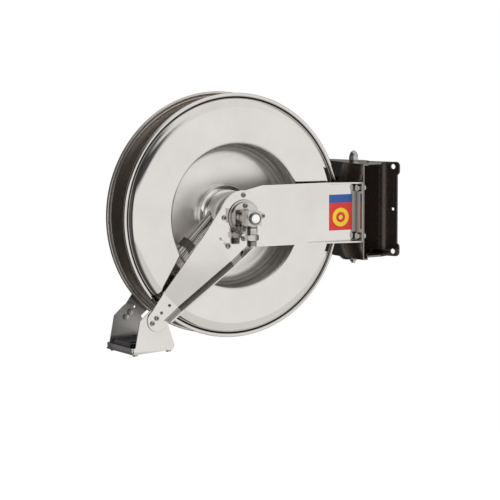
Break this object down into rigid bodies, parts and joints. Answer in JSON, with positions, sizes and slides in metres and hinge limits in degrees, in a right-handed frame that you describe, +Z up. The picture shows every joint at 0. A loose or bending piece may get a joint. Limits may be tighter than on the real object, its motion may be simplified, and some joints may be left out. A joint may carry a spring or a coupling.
{
  "type": "fire hose reel",
  "caption": "Wall-mounted swivelling hose reel: pressed steel drum on a forked arm, side water inlet, spring rewind and roller hose guide.",
  "frame": {"origin": "centre of the four anchor holes, on the back face of the wall plate", "axes": "+Z up, +Y into the wall, -Y out into the room; the stored pose turns the reel 30 degrees from square to the wall"},
  "size_m": [0.4038, 0.5719, 0.524],
  "materials": {
    "bracket_steel": "dull stainless sheet, lightly brushed",
    "arm_steel": "mirror-polished stainless sheet",
    "drum_steel": "mirror-polished stainless, spun rings on the rim",
    "fastener_steel": "bright turned steel",
    "inlet_steel": "bright turned and milled steel",
    "pipe_steel": "polished tube",
    "dark_steel": "dark oiled steel",
    "case_paint": "grey painted pressing",
    "bronze": "turned bearing bronze",
    "nylon": "dark nylon",
    "seal_rubber": "black rubber",
    "sticker_film": "printed film, plain coloured areas"
  },
  "bodies": {
    "bracket": {"wall_bracket": "bracket_steel", "pivot_pin": "fastener_steel", "pivot_cap_nut": "fastener_steel", "pivot_end_washer": "bracket_steel", "pivot_end_bolt": "fastener_steel", "thrust_washers": "nylon"},
    "frame": {"swivel_channel": "bracket_steel", "arm_near": "arm_steel", "arm_far": "arm_steel", "arm_bolts": "fastener_steel", "arm_nuts": "fastener_steel", "guide_bracket": "arm_steel", "guide_screws": "fastener_steel", "guide_nuts": "fastener_steel", "roller_holder_near": "bracket_steel", "roller_holder_far": "bracket_steel", "roller_pins": "fastener_steel", "roller_holder_bolts": "fastener_steel", "bearing_housing_near": "inlet_steel", "bearing_housing_far": "inlet_steel", "bearing_bush_near": "bronze", "bearing_bush_far": "bronze", "housing_screws": "fastener_steel", "spring_arbor": "fastener_steel", "swivel_body": "inlet_steel", "swivel_flange_screws": "fastener_steel", "swivel_cap": "inlet_steel", "swivel_seals": "seal_rubber", "inlet_adapter": "inlet_steel", "inlet_nut": "inlet_steel", "inlet_tail": "inlet_steel", "slot_screw": "fastener_steel", "sticker": "sticker_film", "pawl_pin": "fastener_steel"},
    "drum": {"disc_near": "drum_steel", "disc_far": "drum_steel", "hub_flange": "drum_steel", "hub_tube": "drum_steel", "hub_bolts": "fastener_steel", "drum_shaft": "fastener_steel", "shaft_ring": "dark_steel", "goose_pipe": "pipe_steel", "pipe_nut": "dark_steel", "hose_outlet": "pipe_steel", "spring_case": "case_paint", "spring_cover": "case_paint", "cover_screws": "fastener_steel", "spiral_spring": "dark_steel", "ratchet_wheel": "dark_steel"},
    "pawl": {"pawl": "dark_steel"},
    "roller_front": {"roller_long_front": "nylon"},
    "roller_rear": {"roller_long_rear": "nylon"},
    "roller_near": {"roller_side_near": "nylon"},
    "roller_far": {"roller_side_far": "nylon"}
  },
  "joints": [
    {"name": "frame_swivel", "type": "hinge", "parent": "bracket", "child": "frame", "pos_m": [0, -0.067, 0], "axis": [0, 0, 1], "range_deg": [-20, 80]},
    {"name": "drum_spin", "type": "hinge", "parent": "frame", "child": "drum", "pos_m": [-0.154, -0.33374, 0.0045], "axis": [-0.866, 0.5, 0], "continuous": true},
    {"name": "pawl_turn", "type": "hinge", "parent": "frame", "child": "pawl", "pos_m": [-0.16138, -0.22902, 0.0485], "axis": [-0.866, 0.5, 0], "range_deg": [0, 9]},
    {"name": "roller_front_spin", "type": "hinge", "parent": "frame", "child": "roller_front", "pos_m": [-0.26916, -0.5332, -0.25208], "axis": [-0.866, 0.5, 0], "continuous": true},
    {"name": "roller_rear_spin", "type": "hinge", "parent": "frame", "child": "roller_rear", "pos_m": [-0.23275, -0.47013, -0.24699], "axis": [-0.866, 0.5, 0], "continuous": true},
    {"name": "roller_near_spin", "type": "hinge", "parent": "frame", "child": "roller_near", "pos_m": [-0.21068, -0.52491, -0.24953], "axis": [0.4988, 0.8639, 0.0698], "continuous": true},
    {"name": "roller_far_spin", "type": "hinge", "parent": "frame", "child": "roller_far", "pos_m": [-0.29122, -0.47841, -0.24953], "axis": [0.4988, 0.8639, 0.0698], "continuous": true}
  ]
}
